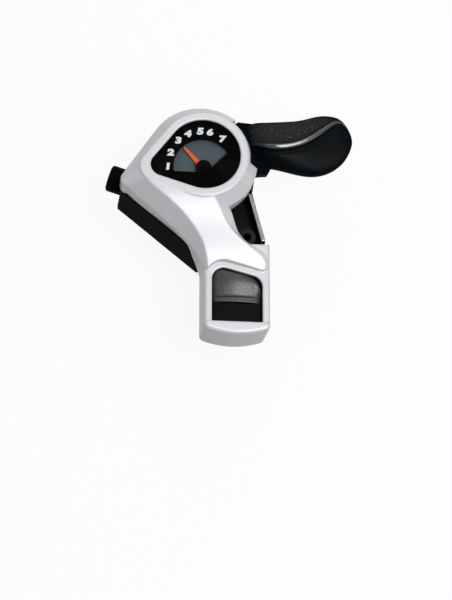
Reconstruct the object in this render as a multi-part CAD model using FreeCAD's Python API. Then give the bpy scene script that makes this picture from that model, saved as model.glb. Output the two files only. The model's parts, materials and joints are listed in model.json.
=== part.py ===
import FreeCAD, Part
import math
import os

Vec = FreeCAD.Vector
ALONG_X = Vec(1, 0, 0)
ALONG_Y = Vec(0, 1, 0)
UPWARD = Vec(0, 0, 1)

# Thumb shifter with a gear dial. Millimetres. The origin is the middle of the handlebar
# clamp, X runs along the bar, Y forward to the dial, Z up along the lever's axis.

# Length that passes through the whole part, for bores and trims
THROUGH = 100.0
# How near two places count as one when edges are picked
TOUCH = 0.01

# Handlebar clamp
BAR_R = 11.1
BAND_WIDTH = 12.0
BAND_THICK = 1.5
CLAMP_BOLT_R = 2.0
CLAMP_BOLT_CLEAR = 0.2
BOLT_HEAD_R = 3.5
BOLT_HEAD_H = 4.0
BOLT_SINK = 0.6
BOLT_TAIL = 3.4
BOLT_KEY = 3.0
BOLT_KEY_DEPTH = 2.2
CLAMP_NUT_HALF = 3.5
CLAMP_NUT_H = 2.4
LUG_GAP = 0.8
LUG_MARGIN = 3.8
HOOK_PIN_R = 1.5
HOOK_Z = 4.2
HOOK_ROOM = 0.6
HOOK_CHEEK = 4.0
THREAD_FIT = 0.02

# Where the dial and the lever stand over the bar
NEEDLE_X = -13.8
NEEDLE_Y = 40.0
FLOOR_BOTTOM = BAR_R
DIAL_Z = FLOOR_BOTTOM + 27.0
BLOCK_TOP = FLOOR_BOTTOM + 18.0

# Needle drive
MODULE = 0.8
RING_TEETH = 30
PINION_TEETH = 17
TOOTH_ADD = 0.42
TOOTH_DED = 0.95
TOOTH_ROOT_HALF = 0.62
TOOTH_TIP_HALF = 0.3
TOOTH_LAP = 0.4
DRIVE_H = 1.5
DRIVE_WALL = 2.2
DRIVE_FOOT_R = 8.6
DRIVE_FOOT_H = 1.2
SHAFT_R = 1.5
DRIVE_END = 1.5
LEVER_Y = NEEDLE_Y + MODULE * (RING_TEETH - PINION_TEETH) / 2

# Cover
WALL = 1.8
OPENING_R = 14.1
OPENING_CORNER_R = 4.7
RING_WIDTH = 3.4
RING_CORNER_R = 6.8
CORNER_DIR = 198.0
CORNER_HALF = 55.3
HEAD_R = 21.4
HEAD_CORNER = (-27.9, -4.2)
HEAD_CORNER_R = 3.4
BEVEL_H = 6.0
SKIRT_H = 7.0
RIM_STEPS = ((0.0, 0.7), (0.2, 0.25), (0.7, 0.0))
BEVEL_SHARE = 0.6
RIDGE_SHARE = 0.5
RIM_SHARE = 0.4
EDGE_ROUND = 1.2
CORNER_ROUND = 2.2
BLOCK_HALF = 12.6
BLOCK_FOOT = FLOOR_BOTTOM + 0.8
BLOCK_FRONT = 13.0
BLOCK_END = -21.0
BLOCK_BULGE = 2.4
LIP_HEIGHT = 0.7
WINDOW_HALF = 9.7
WINDOW_END = -18.6
WINDOW_TOP = 1.6
WINDOW_SLANT = -0.254
WINDOW_ROUND = 4.6
WINDOW_CORNER = 0.8
SHELF_MARGIN = 2.7
ARM_INSET = 0.3
SLOT_FROM = -7.0
SLOT_TO = 53.0
SLOT_LIP = 1.6
BOSS_R = 2.8

# Lower housing
FLOOR_THICK = 2.5
HEAD_DRAFT = 1.3
ARM_DRAFT = 2.0
ARM_WALL_DIR = 231.0
POCKET_CLEAR = 0.9
POCKET_ARM_SIDE = ((14.0, -2.0), (3.0, -9.0), (7.5, -15.0))
POCKET_REAR = (12.0, 23.3)
SADDLE_TOP = FLOOR_BOTTOM + 8.5
SADDLE_FOOT = 6.0
FIT_GAP = 0.2
SCREW_R = 1.25
SCREW_HEAD_R = 2.5
SCREW_HEAD_H = 1.5
SCREW_SINK = 0.1
SCREW_SLOT = 0.7
SCREW_CROSS_R = 1.6
SCREW_BITE = 3.5
SCREW_PLACES = ((-22.0, 5.5), (-9.5, -18.5), (3.5, -17.5))

# Steel bracket
PLATE_THICK = 1.2
PLATE_R = 11.0
FLANGE_TOP = FLOOR_BOTTOM + 9.2
FLANGE_NEAR = (20.0, 0.5)
FLANGE_FAR = (25.9, BLOCK_FRONT - NEEDLE_Y + 3.6)
POST_PLACE = (18.8, BLOCK_FRONT - NEEDLE_Y + 5.7)
POST_R = 3.4
POST_HOLE_R = 1.6
TAB_FROM = -80.0
TAB_TO = 10.0

# Lever stack on the pivot bolt, from the bracket upwards
PIVOT_R = 3.0
PIVOT_CLEAR = 0.05
WAVE_H = 0.6
WAVE_R = 8.0
INDEX_H = 1.2
INDEX_R = 14.0
SPOOL_H = 5.8
SPOOL_R = 14.5
GROOVE_R = 0.8
SPOOL_FLANGE = 1.8
ANCHOR_R = 2.2
ANCHOR_DIR = 303.0
HUB_H = 4.0
HUB_R = 16.8
THRUST_GAP = 0.05
WASHER_H = 0.8
WASHER_R = 5.6
NUT_H = 3.4
NUT_FLAT = 10.0
BOLT_CAP_R = 6.0
BOLT_CAP_H = 2.2
BOLT_CAP_ROUND = 0.8
BOLT_SLOT = 1.2
DOWEL_R = 1.2
DOWEL_PLACE_R = 8.5
DOWEL_DIRS = (60.0, 240.0)

# Gear positions, as directions of the needle; the lever rests in third gear
GEAR_ANGLES = (180.0, 156.0, 132.0, 114.5, 96.0, 81.0, 59.0)
NEEDLE_REST = GEAR_ANGLES[2]
DETENT_DIR = 141.4
DETENT_BUMP = 1.1
DETENT_DEPTH = 0.35
DETENT_CLEAR = 0.15
LEAF_THICK = 0.5
LEAF_HALF = 8.8
LEAF_GAP = 0.1
LEAF_STAND = 0.8

# Dial
TOP_WALL = 1.0
LENS_RECESS = 0.3
LENS_GAP = 0.1
DIAL_THICK = 0.7
DIAL_LAP = 1.2
NEEDLE_THICK = 0.5
NEEDLE_GAP = 0.5
NEEDLE_LENGTH = 11.4
NEEDLE_ROOT_HALF = 1.15
NEEDLE_TIP_HALF = 0.4
NEEDLE_EYE_R = 2.4
BACKING_THICK = 0.6
BACKING_RIM = 1.0
RUN_GAP = 0.4
SEAT_DROP = 0.5
SECTOR_R = 11.6
SECTOR_INNER = 3.0
SECTOR_EDGE = 2.1
SECTOR_FROM = 46.0
SECTOR_TO = 180.0

# Bolt cap
CAP_CROWN = 0.9
CAP_BARREL_R = 24.0
CAP_STEP_Y = -9.4
CAP_STEP = 1.7
CAP_ROUND = 1.0
CAP_ROOF = 3.2

# Adjuster
ADJUST_DIR = 162.65
KNOB_R = 5.2
KNOB_LENGTH = 6.0
KNOB_START = 26.4
KNOB_ROUND = 1.2
KNOB_GAP = 0.3
COLLAR_START = 12.0
ADJUST_BOLT_R = 3.0
ADJUST_CLEAR = 0.05
ADJUST_THREAD = 12.0
SOCKET_R = 2.6
SOCKET_DEPTH = 5.0
CABLE_HOLE_R = 0.9
SPRING_WIRE = 0.5
SPRING_COIL_R = 3.6
SPRING_TURNS = 4
SPIGOT_R = 2.0
SPIGOT_LENGTH = 0.7
DETENT_WASHER_H = 0.9
DETENT_WASHER_GAP = 0.1
ADJUST_WELL = 5.0
WELL_R = 4.3

# Lever
LEVER_DIR = 10.0
ROOT_LIFT = 0.6
ROOT_STEP = 0.5
ROOT_CLEAR = 0.6
ROOT_INNER_R = 14.0
ROOT_FROM = -25.0
ROOT_TO = 60.0
ROOT_CORNERS = ((21.2, 3.0), (26.4, 3.6), (27.9, 6.4), (27.4, 21.8), (22.8, 24.0), (14.5, 24.6))
ROOT_RADII = (0.8, 0.8, 1.6, 2.4, 2.0, 1.0)
ROOT_GAP = 0.3
DRUM_STEP = 0.2
DRUM_SINK = 0.9
DRUM_WALL = 1.3
DRUM_FROM = -40.0
DRUM_TO = 100.0
SWEEP_FROM = -58.0
SWEEP_TO = 88.5
SWEEP_REACH = 45.0

# Lever sections: distance out along the lever, then side and height of the near edge, of the
# rim and of the far edge, and the height of the underside. Heights are over the underside.
LEVER_SECTIONS = (
    (20.0, -3.0, 12.0, 6.8, 14.0, 13.4, 13.2, 10.9),
    (23.0, -3.4, 12.4, 5.6, 17.2, 14.0, 16.4, 10.8),
    (28.0, -4.4, 13.0, 3.5, 20.2, 13.4, 18.4, 10.6),
    (35.0, -7.4, 13.6, 2.8, 20.6, 12.5, 19.2, 11.2),
    (42.0, -9.8, 14.0, 4.1, 20.6, 12.2, 19.6, 11.8),
    (49.0, -9.6, 14.4, 7.3, 20.4, 12.9, 19.8, 12.0),
    (55.0, -6.9, 15.2, 9.6, 20.0, 12.0, 19.4, 13.0),
    (58.6, -3.0, 16.2, 7.4, 19.0, 9.0, 18.6, 14.4),
    (60.5, 0.4, 17.0, 3.0, 18.2, 4.4, 17.9, 16.0),
)
FACE_BULGE = (0.42, 0.68)
DISH_MIDDLE = 0.5
DISH_DEPTH = 0.2
FAR_TUCK = 0.06
NEAR_TUCK = 0.08

# Heights that follow
FLOOR_TOP = FLOOR_BOTTOM + FLOOR_THICK
PLATE_TOP = FLOOR_TOP + PLATE_THICK
INDEX_Z = PLATE_TOP + WAVE_H + THRUST_GAP
SPOOL_Z = INDEX_Z + INDEX_H
CABLE_Z = SPOOL_Z + SPOOL_H / 2
HUB_Z = SPOOL_Z + SPOOL_H
HUB_TOP = HUB_Z + HUB_H
ROOT_Z = FLANGE_TOP + ROOT_LIFT
ROOT_TOP = HUB_TOP - ROOT_STEP
BEVEL_Z = DIAL_Z - BEVEL_H
SKIRT_Z = BEVEL_Z - SKIRT_H
DIAL_TOP = DIAL_Z - TOP_WALL
DIAL_BOTTOM = DIAL_TOP - DIAL_THICK
NEEDLE_Z = DIAL_BOTTOM - NEEDLE_GAP - NEEDLE_THICK
BACKING_Z = NEEDLE_Z - RUN_GAP - BACKING_THICK
DRIVE_TOP = BACKING_Z - RUN_GAP
DRIVE_Z = DRIVE_TOP - DRIVE_H
SEAT_Z = BACKING_Z - SEAT_DROP
SCREW_SEAT = FLOOR_BOTTOM + SCREW_SINK + SCREW_HEAD_H
SCREW_END = SKIRT_Z + SCREW_BITE
BOLT_SEAT = SADDLE_TOP - BOLT_SINK - BOLT_HEAD_H
LUG_TOP = SADDLE_FOOT - LUG_GAP
LUG_BOTTOM = LUG_TOP - BAND_THICK

# Places that follow
CLAMP_BOLT_Y = -(BAR_R + BAND_THICK + FIT_GAP + CLAMP_NUT_HALF)
HOOK_Y = BAR_R + BAND_THICK + HOOK_PIN_R
HOOK_EYE_R = HOOK_PIN_R + BAND_THICK
POCKET_R = SPOOL_R + SPOOL_FLANGE + POCKET_CLEAR
WELL_START = KNOB_START - KNOB_GAP - ADJUST_WELL
RATIO = RING_TEETH / PINION_TEETH
BLOCK_LEFT = -BLOCK_HALF - NEEDLE_X
BLOCK_RIGHT = BLOCK_HALF - NEEDLE_X


def plan(x, y, z=0.0):
    """Point given from the needle's axis."""
    return Vec(NEEDLE_X + x, NEEDLE_Y + y, z)


def about(r, deg, z=0.0):
    """Point given by radius and direction about the lever's axis."""
    a = math.radians(deg)
    return Vec(NEEDLE_X + r * math.cos(a), LEVER_Y + r * math.sin(a), z)


def axis_point(z=0.0):
    return Vec(NEEDLE_X, LEVER_Y, z)


def outline(points, radii=None, z=0.0):
    """Closed wire through corner points, each corner rounded by its radius."""
    n = len(points)
    radii = radii or [0] * n
    pts = [Vec(p[0], p[1], z) for p in points]
    ends = []
    for i in range(n):
        p = pts[i]
        to_prev = (pts[i - 1] - p).normalize()
        to_next = (pts[(i + 1) % n] - p).normalize()
        r = radii[i]
        if r <= 0:
            ends.append((p, None, p))
            continue
        half = to_prev.getAngle(to_next) / 2
        cut = r / math.tan(half)
        bis = (to_prev + to_next).normalize()
        mid = p + bis * (r / math.sin(half) - r)
        ends.append((p + to_prev * cut, mid, p + to_next * cut))
    edges = []
    for i in range(n):
        start, mid, stop = ends[i]
        if mid is not None:
            edges.append(Part.Arc(start, mid, stop).toShape())
        follow = ends[(i + 1) % n][0]
        if (follow - stop).Length > 1e-6:
            edges.append(Part.LineSegment(stop, follow).toShape())
    return Part.Wire(edges)


def prism(wire, z0, z1):
    """Upright prism over a flat wire."""
    shape = wire.copy()
    shape.translate(Vec(0, 0, z0 - wire.BoundBox.ZMin))
    return Part.Face(shape).extrude(Vec(0, 0, z1 - z0))


def box(x0, x1, y0, y1, z0, z1):
    return Part.makeBox(x1 - x0, y1 - y0, z1 - z0, Vec(x0, y0, z0))


def teardrop(r1, corner, r2, z):
    """Outline round a large circle on the lever's axis and a small circle at a corner."""
    a = axis_point(z)
    b = Vec(corner.x, corner.y, z)
    d = b - a
    beta = math.atan2(d.y, d.x)
    alpha = math.acos((r1 - r2) / d.Length)

    def on(c, r, ang):
        return c + Vec(math.cos(ang), math.sin(ang), 0) * r

    up = beta + alpha
    low = beta - alpha
    far = Part.Arc(on(a, r1, up), on(a, r1, beta + math.pi), on(a, r1, low)).toShape()
    near = Part.Arc(on(b, r2, low), on(b, r2, beta), on(b, r2, up)).toShape()
    one = Part.LineSegment(on(a, r1, low), on(b, r2, low)).toShape()
    two = Part.LineSegment(on(b, r2, up), on(a, r1, up)).toShape()
    return Part.Wire([far, one, near, two])


def dial_corner(big, small):
    """Middle of the dial's corner circle, from the spread of the outline's straight sides."""
    return about((big - small) / math.cos(math.radians(CORNER_HALF)), CORNER_DIR)


def dial_outline(grow, z=0.0):
    """Outline of the dial's opening, grown outwards."""
    corner = dial_corner(OPENING_R, OPENING_CORNER_R)
    return teardrop(OPENING_R + grow, corner, OPENING_CORNER_R + grow, z)


def ring_outline(inset, z):
    """Outer edge of the flat band round the dial."""
    outer = OPENING_R + RING_WIDTH
    return teardrop(outer - inset, dial_corner(outer, RING_CORNER_R), RING_CORNER_R - inset, z)


def head_outline(inset, z):
    """Foot outline of the head."""
    return teardrop(HEAD_R - inset, plan(*HEAD_CORNER), HEAD_CORNER_R - inset, z)


def cyl(r, z0, z1, at=None):
    base = at if at is not None else axis_point()
    return Part.makeCylinder(r, z1 - z0, Vec(base.x, base.y, z0))


def bore(r, at=None):
    """Upright hole through the whole part."""
    return cyl(r, -THROUGH, THROUGH, at)


def ring(r_out, r_in, z0, z1, at=None):
    return cyl(r_out, z0, z1, at).cut(bore(r_in, at))


def wedge(r, from_deg, to_deg, z0, z1):
    """Slice of a disc about the lever's axis."""
    base = axis_point(z0)
    piece = Part.makeCylinder(r, z1 - z0, base, UPWARD, to_deg - from_deg)
    piece.rotate(base, UPWARD, from_deg)
    return piece


def arc_wall(r_out, r_in, from_deg, to_deg, z0, z1):
    """Upright wall along an arc about the lever's axis."""
    corners = [Vec(r_in, 0, z0), Vec(r_out, 0, z0), Vec(r_out, 0, z1), Vec(r_in, 0, z1)]
    face = Part.Face(Part.makePolygon(corners + corners[:1]))
    wall = face.revolve(Vec(0, 0, 0), UPWARD, to_deg - from_deg)
    wall.rotate(Vec(0, 0, 0), UPWARD, from_deg)
    wall.translate(axis_point())
    return wall


def fuse_all(shapes):
    return shapes[0].multiFuse(shapes[1:]).removeSplitter()


def cut_all(body, cuts):
    return body.cut(cuts[0].multiFuse(cuts[1:]))


def arm_stations():
    """Cross sections of the arm from the dial's band down to the block: distance forward of
    the needle, then side places of left foot, left ridge, right ridge and right foot, and
    heights of top, side edge and foot."""
    head = -6.0
    end = BLOCK_FRONT - NEEDLE_Y - 11.0

    def y(share):
        return head + share * (end - head)

    left, right = BLOCK_LEFT, BLOCK_RIGHT
    return (
        (y(0.0), -30.0, -21.8, 3.0, 8.0, DIAL_Z - 0.2, BEVEL_Z - 0.6, SKIRT_Z),
        (y(0.19), -23.2, -14.6, 4.4, 9.6, DIAL_Z - 0.6, BEVEL_Z - 0.8, SKIRT_Z),
        (y(0.375), -15.6, -7.9, 7.5, 12.4, DIAL_Z - 2.1, BEVEL_Z - 2.0, SKIRT_Z - 1.0),
        (y(0.565), left - 9.4, left - 3.8, 11.7, 15.6, DIAL_Z - 4.2, BLOCK_TOP - 1.0, SKIRT_Z - 3.0),
        (y(0.76), left - 3.6, left - 0.3, right - 6.2, right - 1.2, BLOCK_TOP + 2.5,
         BLOCK_TOP - 1.8, SKIRT_Z - 6.0),
        (y(1.0), left + 0.1, left + 1.3, right - 2.4, right - 0.2, BLOCK_TOP + LIP_HEIGHT,
         BLOCK_TOP - 1.6, SKIRT_Z - 10.0),
    )


def arm_form(inset, drop):
    wires = []
    for y, lf, lr, rr, rf, top, side, foot in arm_stations():
        edge = side - inset * BEVEL_SHARE
        lean = inset * RIDGE_SHARE
        pts = [
            plan(lf + inset, y, foot - drop), plan(lf + inset, y, edge),
            plan(lr + lean, y, top - inset), plan(rr - lean, y, top - inset),
            plan(rf - inset, y, edge), plan(rf - inset, y, foot - drop),
        ]
        wires.append(Part.makePolygon(pts + [pts[0]]))
    side = BLOCK_HALF - ARM_INSET - inset
    beside = box(side, THROUGH, -THROUGH, THROUGH, -THROUGH, THROUGH)
    return Part.makeLoft(wires, True, False).cut(beside)


def block_plan(inset):
    """Plan of the clamp block, with a bowed rear end."""
    half = BLOCK_HALF - inset
    end = BLOCK_END + inset
    front = BLOCK_FRONT - inset
    a = Vec(-half, front, 0)
    b = Vec(half, front, 0)
    c = Vec(half, end, 0)
    d = Vec(-half, end, 0)
    return Part.Wire([
        Part.LineSegment(a, d).toShape(), Part.Arc(d, Vec(0, end - BLOCK_BULGE, 0), c).toShape(),
        Part.LineSegment(c, b).toShape(), Part.LineSegment(b, a).toShape(),
    ])


def block_form(inset, drop):
    solid = prism(block_plan(inset), BLOCK_FOOT - drop, BLOCK_TOP - inset)
    if inset == 0:
        upright = [e for e in solid.Edges if abs(e.tangentAt(e.FirstParameter).z) > 1 - TOUCH]
        solid = solid.makeFillet(CORNER_ROUND, [e for e in upright if e.BoundBox.YMax < 0])
        top = [e for e in solid.Edges if e.BoundBox.ZMin > BLOCK_TOP - TOUCH]
        solid = solid.makeFillet(EDGE_ROUND, top)
    return solid


def head_form(inset, drop):
    """Bevelled head: the bevel rises from the foot outline to the band's softened edge."""
    foot_z = BEVEL_Z - inset * BEVEL_SHARE
    wires = [head_outline(inset, foot_z)]
    for step, fall in RIM_STEPS:
        wires.append(ring_outline(step + inset * RIM_SHARE, DIAL_Z - inset - fall))
    skirt = prism(head_outline(inset, 0), SKIRT_Z - drop, foot_z)
    return Part.makeLoft(wires, True, True).fuse(skirt)


def cover_form(inset, drop=0.0):
    return head_form(inset, drop).multiFuse([arm_form(inset, drop), block_form(inset, drop)])


def window_outline(grow):
    """Opening over the clamp bolt, with a slanting front edge."""
    left = -WINDOW_HALF - grow
    right = WINDOW_HALF + grow
    rise = WINDOW_TOP + grow
    pts = [
        (left, WINDOW_END - grow), (right, WINDOW_END - grow),
        (right, rise + WINDOW_SLANT * right), (left, rise + WINDOW_SLANT * left),
    ]
    return outline(pts, [WINDOW_CORNER, WINDOW_CORNER, WINDOW_ROUND + grow, WINDOW_ROUND + grow])


def lever_sweep(z0, z1, reach):
    """Space that the lever's root passes through."""
    return wedge(reach, SWEEP_FROM, SWEEP_TO, z0, z1)


def lever_slot():
    """Opening in the side of the head where the lever comes out, below the dial's band."""
    low = wedge(SWEEP_REACH, SLOT_FROM, SLOT_TO, SKIRT_Z - SKIRT_H, SEAT_Z)
    high = wedge(SWEEP_REACH, SLOT_FROM, SLOT_TO, SEAT_Z, DIAL_Z - SLOT_LIP)
    return low.fuse(high.cut(bore(OPENING_R + RING_WIDTH - LENS_GAP)))


def screw_points():
    return [plan(x, y) for x, y in SCREW_PLACES]


def knob_place(shape):
    """Sets a shape built along X onto the adjuster's line."""
    out = shape.copy()
    out.rotate(Vec(0, 0, 0), UPWARD, ADJUST_DIR)
    out.translate(about(SPOOL_R, ADJUST_DIR + 90.0, CABLE_Z))
    return out


def rod(r, s0, s1):
    """Round bar on the adjuster's line."""
    return knob_place(Part.makeCylinder(r, s1 - s0, Vec(s0, 0, 0), ALONG_X))


def bar_round(r, half=THROUGH):
    """Round bar on the handlebar's line."""
    return Part.makeCylinder(r, 2 * half, Vec(-half, 0, 0), ALONG_X)


def hexagon(flat, z0, z1, at):
    r = flat / math.sqrt(3)
    turns = [math.radians(60 * i) for i in range(6)]
    return prism(outline([(at.x + r * math.cos(t), at.y + r * math.sin(t)) for t in turns]), z0, z1)


def make_top_cover():
    body = cover_form(0.0).cut(prism(window_outline(SHELF_MARGIN), BLOCK_TOP, DIAL_Z))
    lip = block_form(0.0, 0.0)
    lip.translate(Vec(0, 0, LIP_HEIGHT))
    rear = box(-THROUGH, THROUGH, -THROUGH, WINDOW_END, SADDLE_TOP, DIAL_Z)
    body = body.fuse(lip.common(rear))
    half = BLOCK_HALF - WALL
    throat = box(-half, half, BLOCK_FRONT - 2 * WALL, BLOCK_FRONT + 2 * WALL, 0, SADDLE_TOP)
    shell = body.cut(cover_form(WALL, 2 * WALL)).cut(throat)
    inner = cover_form(WALL / 4)
    bosses = [cyl(BOSS_R, SKIRT_Z, SEAT_Z - FIT_GAP, p) for p in screw_points()]
    shell = shell.multiFuse([b.common(inner) for b in bosses])
    cuts = [
        prism(window_outline(0.0), 0, DIAL_Z),
        prism(dial_outline(0.0), DIAL_TOP - DIAL_THICK, DIAL_Z + TOP_WALL),
        prism(dial_outline(DIAL_LAP + FIT_GAP), SEAT_Z, DIAL_TOP),
        lever_sweep(FLOOR_BOTTOM, ROOT_TOP + ROOT_CLEAR, HEAD_R + SKIRT_H),
        lever_slot(),
        cyl(POCKET_R, FLOOR_BOTTOM, SEAT_Z),
        box(-THROUGH, THROUGH, -THROUGH, THROUGH, -THROUGH, BLOCK_FOOT),
    ]
    cuts += [cyl(SCREW_R + THREAD_FIT, 0, SCREW_END + FIT_GAP, p) for p in screw_points()]
    shell = cut_all(shell, cuts)
    return max(shell.Solids, key=lambda s: s.Volume).removeSplitter()


def flange_frame():
    near = plan(*FLANGE_NEAR)
    far = plan(*FLANGE_FAR)
    along = (far - near).normalize()
    inward = Vec(along.y, -along.x, 0) * PLATE_THICK
    return near, far, inward


def make_steel_bracket():
    near, far, inward = flange_frame()
    flange = prism(outline([near, far, far + inward, near + inward]), FLOOR_TOP, FLANGE_TOP)
    post = plan(*POST_PLACE)
    heel = post - Vec(POST_R, 0, 0)
    tab = outline([near, far, heel, about(PLATE_R, TAB_FROM), about(PLATE_R, TAB_TO)])
    plates = [prism(tab, FLOOR_TOP, PLATE_TOP), cyl(PLATE_R, FLOOR_TOP, PLATE_TOP)]
    collar = cyl(POST_R, FLOOR_TOP, FLANGE_TOP, post)
    body = fuse_all([flange, collar] + plates)
    return body.cut(bore(PIVOT_R + PIVOT_CLEAR)).cut(bore(POST_HOLE_R, post))


def tray_outline(grow, z):
    """Plan of the housing under the arm; the outer wall runs from the head to the block."""
    near, far, inward = flange_frame()
    wall = math.radians(ARM_WALL_DIR)
    normal = Vec(math.cos(wall), math.sin(wall), 0)
    start = plan(*HEAD_CORNER) + normal * HEAD_CORNER_R
    slide = (-BLOCK_HALF - start.x) / -math.sin(wall)
    stop = start + Vec(-math.sin(wall), math.cos(wall), 0) * slide
    side = BLOCK_HALF - WALL - FIT_GAP
    pts = [start + normal * grow, stop + normal * grow, Vec(-side, stop.y, 0),
           Vec(-side, BLOCK_FRONT - WALL, 0), Vec(side, BLOCK_FRONT - WALL, 0),
           Vec(side, BLOCK_FRONT + FIT_GAP, 0), far, near, plan(0, 0)]
    return outline(pts, None, z)


def tray_form():
    """Drafted outer form of the housing below the cover, with the adjuster's collar."""
    head = Part.makeLoft([head_outline(-HEAD_DRAFT, FLOOR_BOTTOM), head_outline(0.0, SKIRT_Z)], True, True)
    arm = Part.makeLoft([tray_outline(ARM_DRAFT, FLOOR_BOTTOM), tray_outline(0.0, SKIRT_Z)], True, True)
    collar = rod(KNOB_R, COLLAR_START, KNOB_START)
    end = KNOB_START - KNOB_GAP
    beyond = knob_place(box(end, end + THROUGH, -THROUGH, THROUGH, -THROUGH, THROUGH))
    lid = box(-THROUGH, THROUGH, -THROUGH, THROUGH, SKIRT_Z, THROUGH)
    return head.fuse(arm).fuse(collar).cut(beyond).cut(cover_form(0.0)).cut(lid)


def saddle_form():
    """Seat on the bar inside the block, joined to the tray, with cheeks for the hook pin."""
    gap = FIT_GAP + WALL
    half = BLOCK_HALF - gap
    seat = prism(block_plan(gap), SADDLE_FOOT, SADDLE_TOP)
    neck = box(-half, half, BLOCK_FRONT - 2 * gap, BLOCK_FRONT + gap, FLOOR_BOTTOM, SADDLE_TOP - gap)
    cheek = BAND_WIDTH / 2 + HOOK_CHEEK
    hook_end = HOOK_Y + HOOK_EYE_R + HOOK_ROOM + WALL
    hinge = box(-cheek, cheek, BLOCK_FRONT - 2 * gap, hook_end, HOOK_Z - HOOK_EYE_R, FLOOR_TOP)
    return fuse_all([seat, neck, hinge])


def side_pocket():
    """Open space in the tray between the arm and the bracket's flange."""
    near, far, inward = flange_frame()
    low = BLOCK_FRONT + WALL - NEEDLE_Y
    pts = [near + inward] + [plan(x, y) for x, y in POCKET_ARM_SIDE]
    pts += [plan(x, low) for x in POCKET_REAR] + [far + inward]
    return prism(outline(pts), FLOOR_TOP, DIAL_Z)


def leaf_pocket():
    """Slot that holds the index spring's leaf."""
    mid = leaf_reach()
    half = LEAF_HALF + LEAF_GAP
    slot = box(mid - LEAF_THICK / 2, mid + LEAF_THICK / 2, -half, half, FLOOR_TOP, DIAL_Z)
    slot.rotate(Vec(0, 0, 0), UPWARD, DETENT_DIR)
    slot.translate(axis_point())
    return slot


def hook_room():
    half = BAND_WIDTH / 2 + HOOK_ROOM / 2
    reach = HOOK_EYE_R + HOOK_ROOM
    return box(-half, half, BAR_R - BAND_THICK, HOOK_Y + reach, -THROUGH, HOOK_Z + reach)


def hook_pin_rod(r):
    half = BAND_WIDTH / 2 + HOOK_CHEEK
    return Part.makeCylinder(r, 2 * half, Vec(-half, HOOK_Y, HOOK_Z), ALONG_X)


def make_base_housing():
    body = fuse_all([tray_form().cut(side_pocket()), saddle_form()])
    bolt = Vec(0, CLAMP_BOLT_Y, 0)
    cuts = [
        bar_round(BAR_R), hook_room(), hook_pin_rod(HOOK_PIN_R + THREAD_FIT), leaf_pocket(),
        make_steel_bracket(), bore(PIVOT_R + FIT_GAP / 2),
        cyl(POCKET_R, FLOOR_TOP, DIAL_Z),
        lever_sweep(FLANGE_TOP + FIT_GAP, DIAL_Z, SWEEP_REACH),
        rod(ADJUST_BOLT_R + ADJUST_CLEAR, 0, KNOB_START),
        rod(WELL_R, WELL_START, KNOB_START + KNOB_GAP),
        bore(CLAMP_BOLT_R + CLAMP_BOLT_CLEAR, bolt),
        cyl(BOLT_HEAD_R + CLAMP_BOLT_CLEAR, BOLT_SEAT, DIAL_Z, bolt),
    ]
    for p in screw_points():
        cuts.append(bore(SCREW_R + FIT_GAP / 2, p))
        cuts.append(cyl(SCREW_HEAD_R + FIT_GAP / 2, 0, SCREW_SEAT, p))
    return cut_all(body, cuts)


def sector_area(z0, z1):
    """Window of the dial plate: a ring piece with straight edges beside the end radii."""
    a = math.radians(SECTOR_FROM)
    b = math.radians(SECTOR_TO)
    da = Vec(math.cos(a), math.sin(a), 0)
    db = Vec(math.cos(b), math.sin(b), 0)
    na = Vec(da.y, -da.x, 0) * SECTOR_EDGE
    nb = Vec(-db.y, db.x, 0) * SECTOR_EDGE
    apex = (da + db) * (-SECTOR_EDGE / math.sin(b - a))
    c = plan(0, 0)
    mid = Vec(math.cos((a + b) / 2), math.sin((a + b) / 2), 0) * (2 * THROUGH)
    pts = [c + apex, c + na + da * THROUGH, c + mid, c + nb + db * THROUGH]
    return prism(outline(pts), z0, z1).common(ring(SECTOR_R, SECTOR_INNER, z0, z1, c))


def make_dial_plate():
    body = prism(dial_outline(DIAL_LAP), DIAL_BOTTOM, DIAL_TOP)
    return body.cut(sector_area(SEAT_Z, DIAL_Z))


def make_dial_backing():
    body = prism(dial_outline(DIAL_LAP), BACKING_Z, DIAL_BOTTOM)
    room = prism(dial_outline(DIAL_LAP - BACKING_RIM), BACKING_Z + BACKING_THICK, DIAL_Z)
    return body.cut(room).cut(bore(SHAFT_R + PIVOT_CLEAR, plan(0, 0)))


def make_dial_lens():
    return prism(dial_outline(-LENS_GAP), DIAL_TOP, DIAL_Z - LENS_RECESS)


def make_bolt_cap():
    crown = BLOCK_TOP + CAP_CROWN
    body = prism(window_outline(-FIT_GAP), SADDLE_TOP, crown)
    start = Vec(0, -THROUGH, crown - CAP_BARREL_R)
    body = body.common(Part.makeCylinder(CAP_BARREL_R, 2 * THROUGH, start, ALONG_Y))
    floor = BLOCK_TOP - CAP_STEP
    body = body.cut(box(-THROUGH, THROUGH, -THROUGH, CAP_STEP_Y, floor, DIAL_Z))
    brow = [e for e in body.Edges
            if abs(e.CenterOfMass.y - CAP_STEP_Y) < TOUCH and e.Length > WINDOW_HALF
            and e.CenterOfMass.z > floor + CAP_STEP / 2]
    body = body.makeFillet(CAP_ROUND, brow)
    return body.cut(prism(window_outline(-FIT_GAP - WALL), 0, BLOCK_TOP - CAP_ROOF))


def make_pivot_bolt():
    top = HUB_TOP + THRUST_GAP + WASHER_H + NUT_H + FIT_GAP
    low = FLOOR_BOTTOM - BOLT_CAP_H
    head = cyl(BOLT_CAP_R, low, FLOOR_BOTTOM)
    head = head.makeFillet(BOLT_CAP_ROUND, [e for e in head.Edges if e.BoundBox.ZMax < low + TOUCH])
    half = BOLT_SLOT / 2
    slot = box(NEEDLE_X - BOLT_CAP_R, NEEDLE_X + BOLT_CAP_R, LEVER_Y - half, LEVER_Y + half, low, low + half)
    return fuse_all([head, cyl(PIVOT_R, FLOOR_BOTTOM, top)]).cut(slot)


def make_thrust_washer():
    z = HUB_TOP + THRUST_GAP
    return ring(WASHER_R, PIVOT_R + PIVOT_CLEAR, z, z + WASHER_H)


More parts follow.
